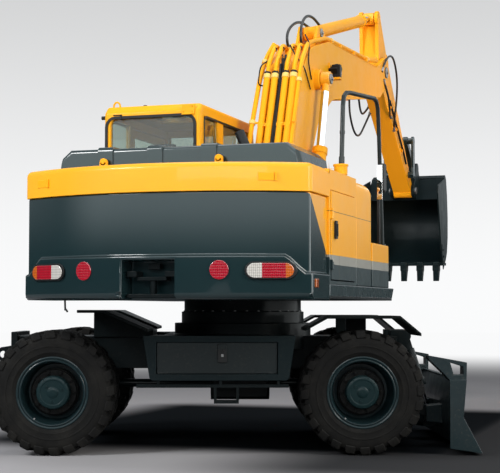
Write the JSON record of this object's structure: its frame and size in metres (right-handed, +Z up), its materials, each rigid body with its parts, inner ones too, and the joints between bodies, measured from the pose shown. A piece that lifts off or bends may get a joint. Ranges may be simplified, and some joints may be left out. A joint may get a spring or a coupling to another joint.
{
  "type": "wheeled excavator",
  "caption": "Wheeled excavator with twin tyres, a dozer blade, a slewing body with a cab, and a one-piece boom with arm and toothed bucket.",
  "frame": {"origin": "on the ground under the middle of the whole machine as it stands, boom and bucket included", "axes": "+Y is the way the cab and boom face, +X is their right-hand side, +Z is up; the undercarriage is turned 19 degrees beneath the body"},
  "size_m": [4.7718, 9.728, 5.0363],
  "materials": {
    "yellow_paint": "gloss paint",
    "grey_paint": "satin paint",
    "black_paint": "satin paint",
    "tyre_rubber": "matt rubber",
    "rod_chrome": "polished",
    "cast_block": "painted casting",
    "window_glass": "tinted",
    "lamp_red": "clear moulded",
    "cab_plastic": "textured",
    "seat_cloth": "woven"
  },
  "bodies": {
    "chassis": {"chassis_beam": "grey_paint", "blade_mounts": "grey_paint", "fender_posts": "grey_paint", "slewing_ring": "grey_paint", "steered_axle": "grey_paint", "fixed_axle": "grey_paint", "transfer_box": "grey_paint", "tool_box_near": "grey_paint", "tool_box_far": "grey_paint", "hanging_steps": "grey_paint", "fenders": "grey_paint"},
    "tool_box_door_near": {"tool_box_door_near": "grey_paint"},
    "tool_box_door_far": {"tool_box_door_far": "grey_paint"},
    "knuckle_near": {"knuckle_near": "grey_paint"},
    "knuckle_far": {"knuckle_far": "grey_paint"},
    "wheel_steered_near": {"tyres_steered_near": "tyre_rubber", "rims_steered_near": "grey_paint"},
    "wheel_steered_far": {"tyres_steered_far": "tyre_rubber", "rims_steered_far": "grey_paint"},
    "wheel_fixed_near": {"tyres_fixed_near": "tyre_rubber", "rims_fixed_near": "grey_paint"},
    "wheel_fixed_far": {"tyres_fixed_far": "tyre_rubber", "rims_fixed_far": "grey_paint"},
    "blade_arms": {"blade_arms": "grey_paint"},
    "blade": {"dozer_blade": "grey_paint"},
    "blade_barrels": {"blade_cylinder_barrels": "grey_paint"},
    "blade_rods": {"blade_cylinder_rods": "rod_chrome"},
    "upper": {"platform": "grey_paint", "side_skirts": "grey_paint", "counterweight": "grey_paint", "tail_lamps": "lamp_red", "engine_bay": "yellow_paint", "engine_block": "cast_block", "right_body": "yellow_paint", "step_box": "grey_paint", "handrail": "black_paint", "exhaust_pipe": "black_paint", "right_mirror": "cab_plastic", "cab_shell": "yellow_paint", "cab_glass": "window_glass", "operator_seat": "seat_cloth", "cab_controls": "cab_plastic"},
    "cab_door": {"cab_door": "yellow_paint", "cab_door_glass": "window_glass"},
    "engine_hood": {"engine_hood": "grey_paint"},
    "body_door_left": {"body_door_left": "yellow_paint"},
    "body_door_right": {"body_door_right": "yellow_paint"},
    "boom": {"boom": "yellow_paint", "boom_lamps": "black_paint", "boom_pipes": "yellow_paint"},
    "boom_barrels": {"boom_cylinder_barrels": "yellow_paint"},
    "boom_rods": {"boom_cylinder_rods": "rod_chrome"},
    "arm": {"arm": "yellow_paint"},
    "arm_barrel": {"arm_cylinder_barrel": "yellow_paint"},
    "arm_rod": {"arm_cylinder_rod": "rod_chrome"},
    "bucket_barrel": {"bucket_cylinder_barrel": "yellow_paint"},
    "bucket_rod": {"bucket_cylinder_rod": "rod_chrome"},
    "idlers": {"idler_links": "grey_paint"},
    "link": {"bucket_link": "grey_paint"},
    "bucket": {"bucket": "grey_paint"}
  },
  "joints": [
    {"name": "tool_box_door_near_hinge", "type": "hinge", "parent": "chassis", "child": "tool_box_door_near", "pos_m": [0.24243, -3.68103, 0.697], "axis": [0.9455, 0.3256, 0], "range_deg": [0, 90]},
    {"name": "tool_box_door_far_hinge", "type": "hinge", "parent": "chassis", "child": "tool_box_door_far", "pos_m": [-0.52461, -1.45339, 0.697], "axis": [-0.9455, -0.3256, 0], "range_deg": [0, 90]},
    {"name": "steering_near", "type": "hinge", "parent": "chassis", "child": "knuckle_near", "pos_m": [-1.28234, -3.6159, 0.535], "axis": [0, 0, 1], "range_deg": [-25, 25]},
    {"name": "steering_far", "type": "hinge", "parent": "chassis", "child": "knuckle_far", "pos_m": [-1.68605, -2.44345, 0.535], "axis": [0, 0, 1], "range_deg": [-25.5, 25.5]},
    {"name": "wheel_steered_near_spin", "type": "hinge", "parent": "knuckle_near", "child": "wheel_steered_near", "pos_m": [-1.17572, -3.92555, 0.535], "axis": [-0.3256, 0.9455, 0], "continuous": true},
    {"name": "wheel_fixed_near_spin", "type": "hinge", "parent": "chassis", "child": "wheel_fixed_near", "pos_m": [1.32518, -3.06443, 0.535], "axis": [-0.3256, 0.9455, 0], "continuous": true},
    {"name": "wheel_steered_far_spin", "type": "hinge", "parent": "knuckle_far", "child": "wheel_steered_far", "pos_m": [-1.79267, -2.1338, 0.535], "axis": [-0.3256, 0.9455, 0], "continuous": true},
    {"name": "wheel_fixed_far_spin", "type": "hinge", "parent": "chassis", "child": "wheel_fixed_far", "pos_m": [0.70823, -1.27267, 0.535], "axis": [-0.3256, 0.9455, 0], "continuous": true},
    {"name": "blade_lift", "type": "hinge", "parent": "chassis", "child": "blade_arms", "pos_m": [1.376, -2.04483, 0.42], "axis": [0.3256, -0.9455, 0], "range_deg": [-12.5, 37]},
    {"name": "blade_level", "type": "hinge", "parent": "blade_arms", "child": "blade", "pos_m": [1.69747, -1.93414, 0.3], "axis": [0.3256, -0.9455, 0], "range_deg": [-37.3, 12.8]},
    {"name": "blade_barrels_swing", "type": "hinge", "parent": "chassis", "child": "blade_barrels", "pos_m": [1.47528, -2.01065, 1], "axis": [0.3256, -0.9455, 0], "range_deg": [-3.06, 8.48]},
    {"name": "blade_rods_slide", "type": "slide", "parent": "blade_barrels", "child": "blade_rods", "axis": [0.2792, 0.0961, -0.9554], "range_m": [-0.20823, 0.07233]},
    {"name": "slew", "type": "hinge", "parent": "chassis", "child": "upper", "pos_m": [0.057, -2.499, 1.225], "axis": [0, 0, -1], "continuous": true},
    {"name": "cab_door_hinge", "type": "hinge", "parent": "upper", "child": "cab_door", "pos_m": [-1.207, -2.347, 2.2], "axis": [0, 0, 1], "range_deg": [0, 165]},
    {"name": "engine_hood_hinge", "type": "hinge", "parent": "upper", "child": "engine_hood", "pos_m": [0.057, -3.199, 2.405], "axis": [-1, 0, 0], "range_deg": [0, 50]},
    {"name": "body_door_left_hinge", "type": "hinge", "parent": "upper", "child": "body_door_left", "pos_m": [-1.198, -3.933, 1.85], "axis": [0, 0, 1], "range_deg": [0, 100]},
    {"name": "body_door_right_hinge", "type": "hinge", "parent": "upper", "child": "body_door_right", "pos_m": [1.312, -3.933, 1.85], "axis": [0, 0, -1], "range_deg": [0, 100]},
    {"name": "boom_lift", "type": "hinge", "parent": "upper", "child": "boom", "pos_m": [0.227, -2.249, 1.85], "axis": [1, 0, 0], "range_deg": [-73, 30]},
    {"name": "boom_barrels_swing", "type": "hinge", "parent": "upper", "child": "boom_barrels", "pos_m": [0.227, -1.859, 1.6], "axis": [1, 0, 0], "range_deg": [-75.38, 31.16]},
    {"name": "boom_rods_slide", "type": "slide", "parent": "boom_barrels", "child": "boom_rods", "axis": [0, 0.3189, 0.9478], "range_m": [-0.50807, 0.21056]},
    {"name": "arm_swing", "type": "hinge", "parent": "boom", "child": "arm", "pos_m": [0.227, 2.18903, 4.25965], "axis": [-1, 0, 0], "range_deg": [-33, 78]},
    {"name": "arm_barrel_swing", "type": "hinge", "parent": "boom", "child": "arm_barrel", "pos_m": [0.227, -0.68896, 4.21612], "axis": [1, 0, 0], "range_deg": [-7.24, 3.23]},
    {"name": "arm_rod_slide", "type": "slide", "parent": "arm_barrel", "child": "arm_rod", "axis": [0, 0.9672, 0.2542], "range_m": [-0.32458, 0.7631]},
    {"name": "bucket_curl", "type": "hinge", "parent": "arm", "child": "bucket", "pos_m": [0.227, 4.11403, 2.91175], "axis": [-1, 0, 0], "range_deg": [-22, 98]},
    {"name": "idlers_swing", "type": "hinge", "parent": "arm", "child": "idlers", "pos_m": [0.227, 3.86338, 3.11167], "axis": [1, 0, 0], "range_deg": [-80.73, 18.36]},
    {"name": "link_swing", "type": "hinge", "parent": "bucket", "child": "link", "pos_m": [0.227, 4.30403, 3.24175], "axis": [1, 0, 0], "range_deg": [-13.1, 57.32]},
    {"name": "bucket_barrel_swing", "type": "hinge", "parent": "arm", "child": "bucket_barrel", "pos_m": [0.227, 2.67159, 4.49552], "axis": [1, 0, 0], "range_deg": [-1.17, 4.18]},
    {"name": "bucket_rod_slide", "type": "slide", "parent": "bucket_barrel", "child": "bucket_rod", "axis": [0, 0.7915, -0.6112], "range_m": [-0.12981, 0.5679]}
  ],
  "couplings": [
    {"joint": "steering_far", "follows": "steering_near", "ratio": 1},
    {"joint": "blade_level", "follows": "blade_lift", "ratio": -1},
    {"joint": "blade_barrels_swing", "follows": "blade_lift", "ratio": 0.22101},
    {"joint": "blade_rods_slide", "follows": "blade_lift", "m_per_rad": -0.3178},
    {"joint": "boom_barrels_swing", "follows": "boom_lift", "ratio": 1.0285},
    {"joint": "boom_rods_slide", "follows": "boom_lift", "m_per_rad": 0.39641},
    {"joint": "arm_barrel_swing", "follows": "arm_swing", "ratio": -0.088945},
    {"joint": "arm_rod_slide", "follows": "arm_swing", "m_per_rad": 0.55834},
    {"joint": "idlers_swing", "follows": "bucket_curl", "ratio": -0.82068},
    {"joint": "link_swing", "follows": "bucket_curl", "ratio": 0.58181},
    {"joint": "bucket_barrel_swing", "follows": "bucket_curl", "ratio": 0.039563},
    {"joint": "bucket_rod_slide", "follows": "bucket_curl", "m_per_rad": 0.33027}
  ]
}
